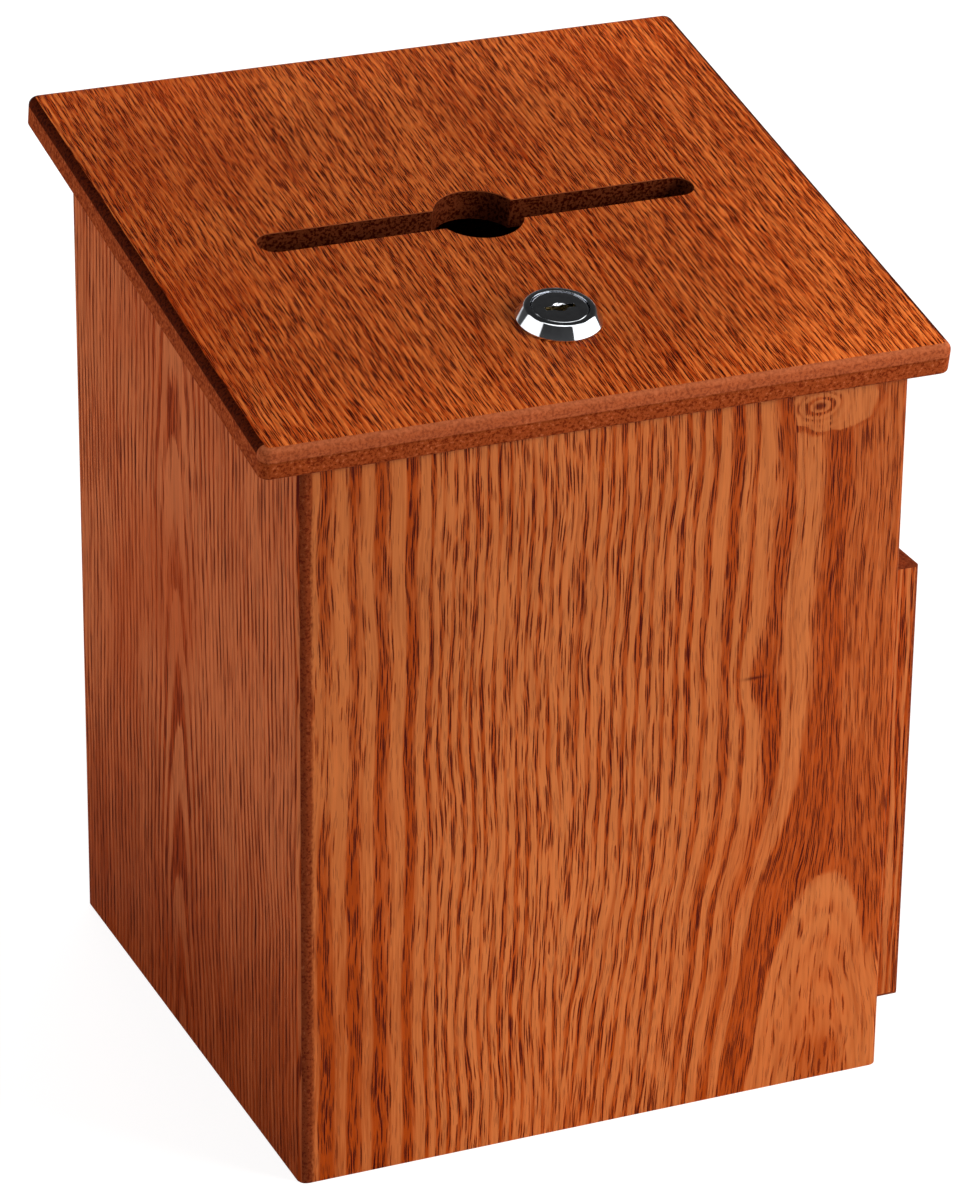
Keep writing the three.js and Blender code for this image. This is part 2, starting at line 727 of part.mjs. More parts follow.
// Pan-head machine screw up into the plug's tail.
function camScrew() {
  const seat = CAM_TOP - CAM_THICKNESS - CAM_WASHER.thickness - 2 * SEAT_GAP;
  const { headRadius, headHeight, shankRadius, length } = CAM_SCREW;
  const blank = turned([
    [0, seat - headHeight],
    [headRadius * 0.7, seat - headHeight],
    [headRadius, seat - headHeight * 0.5],
    [headRadius, seat],
    [shankRadius, seat],
    [shankRadius, seat + length - 1],
    [shankRadius - 0.5, seat + length],
    [0, seat + length],
  ], SMALL_STEPS);
  const arm = headRadius * 0.55;
  const low = seat - headHeight - 1;
  const high = seat - headHeight * 0.4;
  const across = block([-arm, -CROSS_WIDTH, low], [arm, CROSS_WIDTH, high]);
  const along = block([-CROSS_WIDTH, -arm, low], [CROSS_WIDTH, arm, high]);
  return cut(blank, across, along);
}

function addLock(lidFrame) {
  const lock = new THREE.Group();
  lock.position.y = LOCK_DISTANCE;
  lock.add(mesh('lock_housing', lockHousing(), CHROME));
  lock.add(mesh('lock_nut', lockNut(), ZINC));
  lock.add(mesh('lock_plug', lockPlug(), CHROME));
  waferHeights.forEach((height, index) => {
    const piece = mesh(`lock_wafer_${index + 1}`, wafer(), BRASS);
    piece.position.z = height;
    lock.add(piece);
  });
  lock.add(mesh('lock_cam', camArm(), ZINC));
  lock.add(mesh('cam_washer', camWasher(), ZINC));
  lock.add(mesh('cam_screw', camScrew(), ZINC));
  lidFrame.add(lock);
}

// ---------------------------------------------------------------- strike plate

// Bent plate: a leg screwed to the front wall and a lip parallel to the lid, over the cam's tip.
function strikePlate() {
  const back = -INNER;
  const front = back + STRIKE_THICKNESS;
  const under = CAM_TOP + STRIKE_CLEARANCE;
  const over = under + STRIKE_THICKNESS;
  const shape = outline([
    [back, STRIKE_LEG_BOTTOM],
    [front, STRIKE_LEG_BOTTOM],
    [front, heightUnderLid(front, under)],
    lidPoint(STRIKE_REACH, under),
    lidPoint(STRIKE_REACH, over),
    [back, heightUnderLid(back, over)],
  ]);
  const plate = prismX(shape, -STRIKE_WIDTH / 2, STRIKE_WIDTH / 2);
  const holes = strikeScrewPlaces().map((place) => atStrike(screwHole(STRIKE_SCREW), place));
  return cut(plate, ...holes);
}

function addStrike(group) {
  group.add(mesh('strike_plate', strikePlate(), ZINC));
  for (const place of strikeScrewPlaces()) {
    const name = place.side < 0 ? 'strike_screw_left' : 'strike_screw_right';
    group.add(mesh(name, atStrike(screwShape(STRIKE_SCREW), place), ZINC));
  }
}

// ---------------------------------------------------------------- assembly

function donationBox() {
  const box = new THREE.Group();
  const lidFrame = tiltedGroup();
  addCarcass(box);
  addPocket(box);
  addStrike(box);
  addLid(lidFrame);
  addLock(lidFrame);
  for (const place of hingePlaces()) {
    addHinge(lidFrame, place);
  }
  box.add(lidFrame);
  return box;
}

export default donationBox();
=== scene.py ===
"""Looks of the wooden donation box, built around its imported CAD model.

Boards, hinges and lock parts are finer copies of the CAD nodes: their edges are softened, their round
stretches shaded smoothly, and each has a node material worked out from its place in the part's frame.
The frame is in metres. Sizes below are in millimetres, and MM turns them into metres.
"""

import json
import math

import bmesh
import bpy
from mathutils import Matrix, Vector


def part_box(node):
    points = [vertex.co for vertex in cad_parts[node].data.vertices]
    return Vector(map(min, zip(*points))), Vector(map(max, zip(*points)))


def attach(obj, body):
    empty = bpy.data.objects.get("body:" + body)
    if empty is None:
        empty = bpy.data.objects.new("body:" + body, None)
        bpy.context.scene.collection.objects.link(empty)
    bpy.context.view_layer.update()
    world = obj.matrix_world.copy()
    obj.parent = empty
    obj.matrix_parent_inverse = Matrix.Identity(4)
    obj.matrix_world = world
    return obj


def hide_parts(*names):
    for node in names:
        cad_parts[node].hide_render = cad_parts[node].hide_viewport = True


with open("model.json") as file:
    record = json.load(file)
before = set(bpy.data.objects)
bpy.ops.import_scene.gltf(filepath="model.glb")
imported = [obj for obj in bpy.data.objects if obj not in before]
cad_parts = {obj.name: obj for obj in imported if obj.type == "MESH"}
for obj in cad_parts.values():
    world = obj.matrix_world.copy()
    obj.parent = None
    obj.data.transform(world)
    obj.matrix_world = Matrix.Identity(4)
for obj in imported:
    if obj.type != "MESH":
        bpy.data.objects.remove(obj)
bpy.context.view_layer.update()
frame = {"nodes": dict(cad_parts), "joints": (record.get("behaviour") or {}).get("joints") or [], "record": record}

MM = 0.001

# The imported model's joints give the lid's plane and the lock's axis.
JOINTS = {joint["name"]: joint for joint in frame["joints"]}
LOCK_PLACE = Vector(JOINTS["lock_turn"]["pos_m"])
LID_NORMAL = -Vector(JOINTS["lock_turn"]["axis"])
LID_SLOPE = math.asin(-LID_NORMAL.y)
BODY_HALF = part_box("front_wall")[1].x / MM
WALL = 9
LID_THICKNESS = 9
POCKET_BOARD = 5
LID_HALF_WIDTH = -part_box("lid")[0].x / MM
LID_START = -100
LOCK_DISTANCE = LOCK_PLACE.y / MM + BODY_HALF + LID_THICKNESS * math.sin(LID_SLOPE)
LOCK_DISTANCE /= math.cos(LID_SLOPE)
LID_FOOT = LOCK_PLACE.z / MM - LOCK_DISTANCE * math.sin(LID_SLOPE) - LID_THICKNESS * math.cos(LID_SLOPE)

# Camera: angles in degrees, distances in millimetres.
CAMERA_AIM = (13.25, -12.71, 113.9)
CAMERA_AZIMUTH = 24.0
CAMERA_ELEVATION = 25.42
CAMERA_ROLL = 0.99
CAMERA_DISTANCE = 1481.6
CAMERA_LENS = 158.55
CAMERA_SHIFT = (-0.0461, 0.0301)


def srgb(red, green, blue):
    """A colour as picked on a screen, 0 to 255, in Blender's linear numbers."""

    def linear(level):
        share = level / 255
        if share <= 0.04045:
            return share / 12.92
        return ((share + 0.055) / 1.055) ** 2.4

    return (linear(red), linear(green), linear(blue), 1)


# ------------------------------------------------------------------ node graphs


class Value:
    """A number that a node tree works out for each shaded point."""

    def __init__(self, graph, socket):
        self.graph = graph
        self.socket = socket

    def __add__(self, other):
        return self.graph.math("ADD", self, other)

    def __radd__(self, other):
        return self.graph.math("ADD", other, self)

    def __sub__(self, other):
        return self.graph.math("SUBTRACT", self, other)

    def __rsub__(self, other):
        return self.graph.math("SUBTRACT", other, self)

    def __mul__(self, other):
        return self.graph.math("MULTIPLY", self, other)

    def __rmul__(self, other):
        return self.graph.math("MULTIPLY", other, self)

    def __truediv__(self, other):
        return self.graph.math("DIVIDE", self, other)

    def __pow__(self, other):
        return self.graph.math("POWER", self, other)


class Graph:
    """A node tree with one call for each kind of node that the looks need."""

    def __init__(self, tree):
        self.tree = tree
        tree.nodes.clear()

    def node(self, kind, **settings):
        """A new node of a kind, with the given settings."""
        made = self.tree.nodes.new(kind)
        for name, setting in settings.items():
            setattr(made, name, setting)
        return made

    def feed(self, socket, source):
        """Links a value, or sets a plain number or colour, on an input."""
        if isinstance(source, Value):
            source = source.socket
        if isinstance(source, bpy.types.NodeSocket):
            self.tree.links.new(source, socket)
        else:
            socket.default_value = source

    def math(self, operation, *terms):
        """One sum, product or function of numbers and values."""
        made = self.node("ShaderNodeMath", operation=operation)
        for socket, term in zip(made.inputs, terms):
            self.feed(socket, term)
        return Value(self, made.outputs[0])

    def low(self, first, second):
        """The lower of two numbers."""
        return self.math("MINIMUM", first, second)

    def high(self, first, second):
        """The higher of two numbers."""
        return self.math("MAXIMUM", first, second)

    def root(self, value):
        """Square root."""
        return self.math("SQRT", value)

    def size(self, value):
        """How big a number is, whatever its sign."""
        return self.math("ABSOLUTE", value)

    def ramp(self, value, start, end, low=0, high=1, smooth=True):
        """low up to start, high from end, and a smooth or straight rise between them."""
        kind = "SMOOTHSTEP" if smooth else "LINEAR"
        made = self.node("ShaderNodeMapRange", interpolation_type=kind)
        for name, source in (
            ("Value", value),
            ("From Min", start),
            ("From Max", end),
            ("To Min", low),
            ("To Max", high),
        ):
            self.feed(made.inputs[name], source)
        return Value(self, made.outputs[0])

    def hill(self, across, along, place, spread):
        """1 at a place, falling to 0 around it as a bell with the given half widths."""
        side = (across - place[0]) / spread[0]
        rise = (along - place[1]) / spread[1]
        return self.math("EXPONENT", -1 * (side * side + rise * rise))

    def vector(self, x, y, z):
        """Three numbers as one place."""
        made = self.node("ShaderNodeCombineXYZ")
        for socket, source in zip(made.inputs, (x, y, z)):
            self.feed(socket, source)
        return made.outputs[0]

    def noise(self, x, y, z, detail=1.0, roughness=0.5):
        """Smooth noise about 0.5 that changes over one unit."""
        made = self.node("ShaderNodeTexNoise")
        self.feed(made.inputs["Vector"], self.vector(x, y, z))
        self.feed(made.inputs["Scale"], 1)
        self.feed(made.inputs["Detail"], detail)
        self.feed(made.inputs["Roughness"], roughness)
        return Value(self, made.outputs[0])

    def cells(self, x, y, seed):
        """Distance to the nearest of scattered points, one in each unit square, and its own chance."""
        made = self.node("ShaderNodeTexVoronoi", voronoi_dimensions="2D")
        self.feed(made.inputs["Vector"], self.vector(x + seed, y + 7.3 * seed, 0))
        self.feed(made.inputs["Scale"], 1)
        split = self.node("ShaderNodeSeparateXYZ")
        self.feed(split.inputs[0], made.outputs["Color"])
        return Value(self, made.outputs["Distance"]), Value(self, split.outputs[0])

    def blend(self, share, first, second):
        """The first colour at share 0 and the second at share 1."""
        made = self.node("ShaderNodeMix", data_type="RGBA")
        self.feed(made.inputs[0], share)
        self.feed(made.inputs[6], first)
        self.feed(made.inputs[7], second)
        return made.outputs[2]

    def dim(self, colour, share):
        """A colour times a number."""
        made = self.node("ShaderNodeVectorMath", operation="SCALE")
        if isinstance(colour, tuple):
            colour = colour[:3]
        self.feed(made.inputs[0], colour)
        self.feed(made.inputs["Scale"], share)
        return made.outputs[0]


class Look(Graph):
    """A material whose nodes work in millimetres of the part's frame."""

    def __init__(self, name):
        self.material = bpy.data.materials.new(name)
        self.material.use_nodes = True
        super().__init__(self.material.node_tree)
        place = self.node("ShaderNodeTexCoord").outputs["Object"]
        split = self.node("ShaderNodeSeparateXYZ")
        self.feed(split.inputs[0], place)
        self.x, self.y, self.z = (Value(self, socket) / MM for socket in split.outputs)

    def finish(self, colour, roughness, height, metallic=0, gloss=0.5):
        """Ends the tree in a shader; height is the relief in millimetres."""
        bump = self.node("ShaderNodeBump")
        self.feed(bump.inputs["Distance"], MM)
        self.feed(bump.inputs["Height"], height)
        shader = self.node("ShaderNodeBsdfPrincipled")
        self.feed(shader.inputs["Base Color"], colour)
        self.feed(shader.inputs["Roughness"], roughness)
        self.feed(shader.inputs["Metallic"], metallic)
        self.feed(shader.inputs["Specular IOR Level"], gloss)
        self.feed(shader.inputs["Normal"], bump.outputs[0])
        output = self.node("ShaderNodeOutputMaterial")
        self.feed(output.inputs["Surface"], shader.outputs[0])
        return self.material


# ------------------------------------------------------------------ wood

CORE = srgb(140, 60, 24)
CORE_DARK = srgb(102, 32, 8)
CORE_PALE = srgb(168, 88, 50)
# Darkest fibreboard: deep stain, and painted shade on the lid's sides, in its cuts and at the front's left corner.
SOAKED_AND_SHADED = srgb(46, 6, 0)
# Pale fibreboard: worn stain, and a painted highlight on the lid's front round-over and on the rims of its cuts.
RUBBED_AND_HIGHLIT = srgb(182, 98, 60)
INSIDE = srgb(104, 40, 14)
CORE_GLOSS = 0.25

# Each pair says where a change starts and ends. The first two are depths below a board's outer face,
# and the third is a height above its inner face. Down to the second pair's depths, edges are darker from
# stain and from painted shade.
SANDED_THROUGH = (0.06, 0.11)
STAIN_AND_SHADE_TO = (2.4, 2.8)
INSIDE_FROM = (0.15, 0.1)

# Distances from the lid's front edge, from its sides and from both, and the depth of a line in its edge.
FRONT_EDGE = (0.5, 1)
SIDE_EDGE = (2.5, 3)
BEYOND_EDGES = (8, 9)
LID_JOIN = 3.9

# The front wall's figure, measured across from its left edge and up from the floor.
FRONT_HEIGHT = 211
SEAM = 75.5
LEFT_RINGS = (0, 4, 12, 19.5, 28, 35)
CATHEDRAL_CENTRE = 156
CATHEDRAL_REACH = 36
CATHEDRAL_RINGS = (36.3, 43.2, 46.5, 53, 57)
ARCH_BEND = 64
EYE = (152, 206)
EYE_KNOT = (147.5, 206)
SIDE_PIN = (131, 130)
PIN_KNOTS = (((131, 129), (3.2, 0.5)), ((136, 67), (0.8, 1.6)), (EYE_KNOT, (1.6, 1)))
QUIET_PATCH = (9, 126)
WARM_PATCH = (8, 40)


class Veneer:
    """One stained veneer.

    late, early and pore are its colours, pore_size and fibre_size are widths and lengths, fibre and streaks
    say how uneven its tone is, and gloss is the strength of its reflections.
    """

    def __init__(self, late, early, pore, pore_size, fibre_size, fibre, streaks, gloss):
        self.late = srgb(*late)
        self.early = srgb(*early)
        self.pore = srgb(*pore)
        self.pore_size = pore_size
        self.fibre_width, self.fibre_length = fibre_size
        self.fibre = fibre
        self.streaks = streaks
        self.gloss = gloss


FRONT_VENEER = Veneer((200, 110, 54), (172, 66, 2), (70, 0, 0), (0.4, 9), (0.6, 16), 0.16, 0.2, 0.16)
SIDE_VENEER = Veneer((184, 98, 54), (148, 52, 2), (74, 8, 0), (0.7, 14), (1.2, 30), 0.2, 0.2, 0.1)
LID_VENEER = Veneer((214, 112, 48), (160, 50, 0), (36, 0, 0), (0.32, 5.5), (0.5, 14), 0.18, 0.45, 0.06)


class Figure:
    """Where a veneer's pores lie.

    line runs across the pores, porous is 0 to 1, and pale lifts the colour. knots is 1 in a knot, edge is 1
    in the dark strip along an edge, from stain and painted shade, tone multiplies the colour, and fineness packs
    the pores closer. Tone also carries painted shade on the front and left walls and painted sheen on the lid,
    and on the left wall pale carries painted shade too.
    """

    def __init__(self, line, porous, pale):
        self.line = line
        self.porous = porous
        self.pale = pale
        self.knots = 0
        self.edge = 0
        self.tone = 1
        self.fineness = 1


def ring_bands(look, rings, start=0.12, fade=0.3, end=0.65):
    """Porous early wood at the start of each ring, then dense late wood."""
    share = look.math("FRACT", rings)
    return look.ramp(share, 0, start) * look.ramp(share, fade, end, 1, 0)


def ring_count(look, value, starts):
    """Counts rings along a value, one for each stretch between neighbouring starts."""
    count = 0
    for index in range(len(starts) - 1):
        count = look.ramp(value, starts[index], starts[index + 1], smooth=False) + count
    return count


def oval_distance(look, across, along, place, breadth):
    """Distance from a place, in ovals that are wider than high."""
    return look.root(((across - place[0]) / breadth) ** 2 + (along - place[1]) ** 2)


def cathedral(look, across, along, side):
    """The arches at the lower right: reach from their heart, rise over it, and 1 past their centre."""
    low_rise = 9 + 0.25 * look.low(along, ARCH_BEND)
    top_rise = 8 * (1 - look.math("EXPONENT", look.high(along - ARCH_BEND, 0) / -20))
    rise = low_rise + top_rise
    past = look.high(side - CATHEDRAL_CENTRE, 0)
    lean_out = 1 + 0.1 * (1 - look.math("EXPONENT", along / -80))
    offset = look.high(CATHEDRAL_CENTRE - side, 0) * lean_out + 1.35 * past
    pin = look.hill(across, along, SIDE_PIN, (6, 10))
    reach = look.root(offset * offset + rise * rise) - 3 * pin
    reach = reach + 1.2 * (look.noise(across / 9, along / 26, 5.7) - 0.5)
    return reach, rise, look.ramp(past, 0, 2)


def cathedral_porous(look, along, reach, is_past):
    """The dark flame around the cathedral's pale middle, its small heart, and faint arches."""
    outer = look.ramp(reach, 33.2, 34.4, 1, 0)
    crown = look.ramp(reach, 24.6, 25.8) * (outer + is_past * (1 - outer))
    crown = crown * look.high(1 - is_past, look.ramp(along, 26, 48))
    heart = 0.6 * look.ramp(reach, 12.5, 14.5, 1, 0) * look.ramp(along, 9, 20, 1, 0)
    arches = 0.22 * ring_bands(look, reach / 2.7, 0.3, 0.4, 0.9)
    fading = is_past * look.ramp(along, 60, 120, 0.05, 0.3)
    return look.high((0.75 - fading) * look.high(crown, heart), arches)


def with_eye(look, across, along, porous):
    """Puts the eye's rings around its knot into the porous share, and gives the eye's dark rim too."""
    wobble = 3.4 * (look.noise(across / 6, along / 5, 4.4) - 0.5)
    from_eye = oval_distance(look, across, along, EYE, 1.7) + wobble
    from_knot = oval_distance(look, across, along, EYE_KNOT, 1.6) + 0.35 * wobble
    eye = look.ramp(from_knot, 2, 5, 0.6, 0.1) * ring_bands(look, from_knot / 1.7, 0.3, 0.4, 0.9)
    porous = porous + look.ramp(from_eye, 7, 8, 1, 0) * (eye - porous)
    rim = look.ramp(from_eye, 7.2, 8) * look.ramp(from_eye, 8.4, 10, 1, 0)
    return porous, 0.6 * rim


def front_shade_and_tone(look, across, along):
    """Painted shade, partly uneven stain: the front is a little darker at both sides and towards its top under the
    lid.
    """
    tone = look.ramp(across, 0, 60, 0.9, 1) * look.ramp(across, 60, 2 * BODY_HALF, 1, 0.9, smooth=False)
    return tone * look.ramp(along, 0, FRONT_HEIGHT, 1.04, 0.84, smooth=False)


def front_figure(look, across, along):
    """Straight lines at the left, a seam, a cathedral at the lower right, an eye and two pin knots."""
    sway = look.noise(across / 60, along / 55, 3.1) - 0.5
    drift = look.noise(across / 5, along / 30, 9.4) - 0.5
    side = across + 5 * sway + 1.6 * drift
    seam = SEAM + 2 * (look.noise(along / 60, 0.5, 8.2) - 0.5)
    is_right = look.ramp(across, seam - 0.2, seam + 0.2)
    reach, rise, is_past = cathedral(look, across, along, side)

    left_fine = look.ramp(side, LEFT_RINGS[-1], 76, 0, 13, smooth=False)
    left_rings = ring_count(look, side, LEFT_RINGS) + left_fine
    right_fine = look.ramp(reach, CATHEDRAL_RINGS[-1], 90, 0, 9.5, smooth=False)
    right_rings = ring_count(look, reach, CATHEDRAL_RINGS) + right_fine
    rings = left_rings + is_right * (right_rings - left_rings)
    patches = look.ramp(look.noise(across / 9, along / 50, 2.8), 0.35, 0.65, 0.6, 1)
    bands = patches * ring_bands(look, rings, 0.2, 0.3, 0.8)
    in_crown = look.ramp(reach, CATHEDRAL_REACH, CATHEDRAL_REACH + 0.4, 1, 0) * is_right
    in_crown = look.high(in_crown, is_past)
    porous = bands + in_crown * (cathedral_porous(look, along, reach, is_past) - bands)

    quiet = look.hill(side, along, QUIET_PATCH, (6, 26))
    porous, rim = with_eye(look, across, along, porous * (1 - 0.9 * quiet))
    dense_zone = look.ramp(side, 30, 40) * look.ramp(side, 100, 118, 1, 0)
    porous = look.high(look.high(porous, 0.2 * dense_zone), rim)
    seam_line = look.ramp(look.size(across - seam), 0.2, 1.4, 1, 0)
    warm = look.hill(across, along, WARM_PATCH, (26, 60))
    pale = 0.5 * seam_line + 0.4 * quiet + 0.25 * dense_zone - 0.4 * warm

    lean = (33**2 - rise * rise) / (2 * look.high(reach, 30))
    aside = CATHEDRAL_CENTRE - across
    line = side + is_right * lean * aside / look.root(aside**2 + 30**2)
    figure = Figure(line, porous, pale)
    figure.fineness = 1 + 0.4 * in_crown
    for place, spread in PIN_KNOTS:
        figure.knots = look.high(figure.knots, look.hill(across, along, place, spread))
    figure.tone = front_shade_and_tone(look, across, along)
    # A dark strip down the front's left corner, partly stain and partly painted shade.
    ragged = look.noise(across / 0.6, along / 1.5, 6.9) - 0.5
    figure.edge = look.ramp(across + 1.4 * ragged, 2.3, 3.7, 1, 0)
    return figure


def crown_figure(look, across, along, centre, spacing, rise, seed):
    """Nested arches about a centre line, running out to straight lines at both sides.

    rise is the arches' height over their heart at the floor, and what they gain with each millimetre up.
    """
    sway = look.noise(across / 45, along / 60, seed) - 0.5
    side = across + 6 * sway
    height = rise[0] + rise[1] * along
    offset = side - centre
    reach = look.root(offset * offset + height * height)
    reach = reach + 1.2 * (look.noise(across / 7, along / 30, seed + 2.4) - 0.5)
    bands = ring_bands(look, reach / spacing)
    patches = look.ramp(look.noise(across / 16, along / 70, seed + 5.3), 0.35, 0.65, 0.55, 1)
    return Figure(side, bands * patches, 0.25 * (1 - patches))


def straight_figure(look, across, along, spacing, seed, least=0):
    """Even, fine lines along the grain; least is how porous the wood between them is."""
    sway = look.noise(across / 50, along / 90, seed) - 0.5
    side = across + 3 * sway
    wander = look.noise(side / 3, along / 45, seed + 1.7) - 0.5
    bands = ring_bands(look, side / spacing + 1.5 * wander, 0.2, 0.3, 0.95)
    zones = look.ramp(look.noise(side / 14, along / 160, seed + 4.1), 0.35, 0.65, 0.7, 1)
    return Figure(side, least + (1 - least) * bands * zones, 0.2 * (1 - zones) + 0.7 * least)


def left_figure(look, across, along):
    figure = crown_figure(look, across, along, 92, 2.6, (10, 0.06), 12.3)
    # Painted shade and sheen: darker and deeper in colour towards the floor, lighter and hazier towards the top.
    figure.tone = look.ramp(along, -40, 130, 0.7, 1.02)
    figure.pale = figure.pale + look.ramp(along, 0, 130, -0.6, 0.1)
    return figure


def right_figure(look, across, along):
    return crown_figure(look, across, along, 70, 4.2, (9, 0.11), 21.9)


def back_figure(look, across, along):
    return crown_figure(look, across, along, 104, 3.8, (8, 0.09), 33.4)


def pocket_figure(look, across, along):
    return crown_figure(look, across, along, 60, 3.4, (12, 0.08), 44.8)


def lid_figure(look, across, along):
    """Fine lines, with a painted sheen that makes the lid a little lighter at the right and towards its front and
    back edges.
    """
    figure = straight_figure(look, across, along, 1.9, 55.6, 0.42)
    # Painted sheen: lighter at the right and towards the front and back edges.
    painted_sheen = 0.26 * look.ramp(across, 130, 200)
    painted_sheen = painted_sheen + 0.25 * look.ramp(along, 140, 185) + 0.2 * look.ramp(along, 30, 0)
    figure.tone = 1 + painted_sheen
    return figure


def strip_figure(look, across, along):
    figure = straight_figure(look, across, along, 2.4, 66.1)
    figure.tone = 0.84
    return figure


def dashes(look, line, along, size, share, seed):
    """Separate dashes in a share of the places where one could lie, and the darker wood around them."""
    width, length = size
    distance, chance = look.cells(line / (1.7 * width), along / (1.7 * length), seed)
    here = look.ramp(chance, share - 0.06, share + 0.06, 1, 0)
    return here * look.ramp(distance, 0.22, 0.34, 1, 0), here * look.ramp(distance, 0.25, 0.65, 1, 0)


def pore_marks(look, veneer, figure, along, seed):
    """Dark dashes where the pores are cut lengthwise, and the stained wood next to them."""
    drift = 0.4 * (look.noise(figure.line / 3, along / 8, seed + 9.1) - 0.5)
    ragged = 0.16 * (look.noise(figure.line / 0.5, along / 0.8, seed + 4.6) - 0.5)
    line = figure.fineness * (figure.line + drift + ragged)
    width, length = veneer.pore_size
    large, small, tiny = (width, length), (0.8 * width, 0.6 * length), (0.6 * width, 0.4 * length)
    marks, halo = dashes(look, line, along, large, 0.02 + 0.74 * figure.porous, seed)
    more, other_halo = dashes(look, line, along, small, 0.05 + 0.55 * figure.porous, seed + 7.7)
    fine, _ = dashes(look, line, along, tiny, 0.3 + 0.4 * figure.porous, seed + 3.1)
    pores = look.high(look.high(marks, 0.85 * more), 0.45 * fine)
    return pores, look.high(halo, other_halo)


def veneer_layers(look, veneer, figure, across, along, seed):
    """The veneered face: colour, roughness and relief."""
    pores, halo = pore_marks(look, veneer, figure, along, seed)
    fibre = look.noise(figure.line / veneer.fibre_width, along / veneer.fibre_length, seed + 1.3, 2)
    fibre = look.ramp(fibre, 0.3, 0.7) - 0.5
    streaks = look.noise(figure.line / 2.6, along / 120, seed + 2.6, 2) - 0.5
    stain = look.noise(across / 60, along / 75, seed + 3.9, 2) - 0.5
    glow = look.noise(across / 22, along / 60, seed + 5.2, 2)

    dense = figure.porous - figure.pale
    colour = look.blend(look.ramp(dense - 0.3 * fibre, -0.1, 0.95), veneer.late, veneer.early)
    colour = look.blend(0.8 * halo, colour, veneer.early)
    colour = look.blend(pores * (0.8 + 0.2 * figure.porous), colour, veneer.pore)
    colour = look.blend(0.85 * figure.knots, colour, veneer.pore)
    colour = look.blend(look.ramp(stain, 0, 0.3, 0, 0.5), colour, veneer.early)
    tone = figure.tone * (1 + veneer.fibre * fibre + veneer.streaks * streaks + 0.3 * stain)
    return look.dim(colour, tone), 0.3 + 0.2 * pores + 0.12 * (glow - 0.5), 0.012 * fibre - 0.07 * pores


def core_layers(look, seed, stain=0, rubbed_and_highlit=0):
    """Stained fibreboard where it is cut: colour, roughness and relief.

    stain is 1 where the fibreboard is darkest, from deep stain and painted shade, and rubbed is 1 where it is
    lightest, from worn stain and a painted highlight.
    """
    speckle = look.noise(look.x / 0.9, look.y / 0.9, look.z / 0.9 + seed, 3, 0.65)
    clumps = look.noise(look.x / 6, look.y / 6, look.z / 6 + seed, 2)
    colour = look.blend(look.ramp(speckle, 0.48, 0.62), CORE, CORE_DARK)
    colour = look.blend(look.ramp(speckle, 0.42, 0.3), colour, CORE_PALE)
    colour = look.blend(rubbed_and_highlit * look.ramp(speckle, 0.35, 0.6, 1, 0.6), colour, RUBBED_AND_HIGHLIT)
    colour = look.blend(stain * look.ramp(speckle, 0.42, 0.58, 1, 0.7), colour, SOAKED_AND_SHADED)
    colour = look.dim(colour, 0.84 + 0.32 * clumps)
    return colour, 0.52 + 0.2 * speckle, -0.05 * speckle


def inside_layers(look, seed):
    """The plain stained faces inside the box: colour, roughness and relief."""
    clouds = look.noise(look.x / 25, look.y / 25, look.z / 25 + seed, 3)
    fibres = look.noise(look.x / 1.1, look.y / 1.1, look.z / 1.1 + seed, 3, 0.7)
    colour = look.dim(INSIDE, 0.7 + 0.4 * clouds + 0.25 * fibres)
    return colour, 0.6 + 0.1 * fibres, 0.02 * fibres


def covered(look, share, under, over):
    """Two sets of layers, with the second over the first where share is 1."""
    colour = look.blend(share, under[0], over[0])
    roughness = under[1] + share * (over[1] - under[1])
    height = under[2] + share * (over[2] - under[2])
    return colour, roughness, height


def wall_stain_and_shade(look, figure, across, _along, depth):
    """How dark a wall's edges are, from stain and painted shade, darkest down the front's left corner; no wall
    edge is made lighter.
    """
    corner_stain_and_shade = figure.edge * look.ramp(across, 1, 3, 0.45, 0.1)
    return look.high(look.ramp(depth, *STAIN_AND_SHADE_TO, 0.3, 0), corner_stain_and_shade), 0


def lid_stain_and_light(look, _figure, _across, along, depth):
    """The lid's sides darker from stain and painted shade, its slot and bores painted dark as shade; its front
    edge and the cuts' rims lighter from wear and a painted highlight.
    """
    from_side = LID_HALF_WIDTH - look.size(look.x)
    in_cut = look.ramp(from_side, *BEYOND_EDGES) * look.ramp(along, *BEYOND_EDGES)
    at_front = look.ramp(along, *FRONT_EDGE, 1, 0)
    # The lid's side round-overs are darker from deep stain and painted shade; the front edge is left out.
    sides = look.ramp(depth, *STAIN_AND_SHADE_TO, 1, 0) * look.ramp(from_side, *SIDE_EDGE, 1, 0) * (1 - at_front)
    # The walls of the slot and bores are painted dark as shade.
    soaked_and_shaded = look.high(sides, in_cut * look.ramp(depth, 0.25, 0.45))
    join = look.ramp(look.size(depth - LID_JOIN), 0.05, 0.6, 0.3, 0)
    soaked_and_shaded = look.high(soaked_and_shaded, join * at_front)
    # A painted highlight on the front round-over, lightest near the top; the cuts' rims are lighter from wear and
    # a painted highlight.
    rubbed_and_highlit = look.ramp(depth, 0.3, 1.6, 1, 0.45) * look.ramp(depth, 3.5, 3.8, 1, 0) * at_front
    return soaked_and_shaded, look.high(rubbed_and_highlit, 0.7 * in_cut)


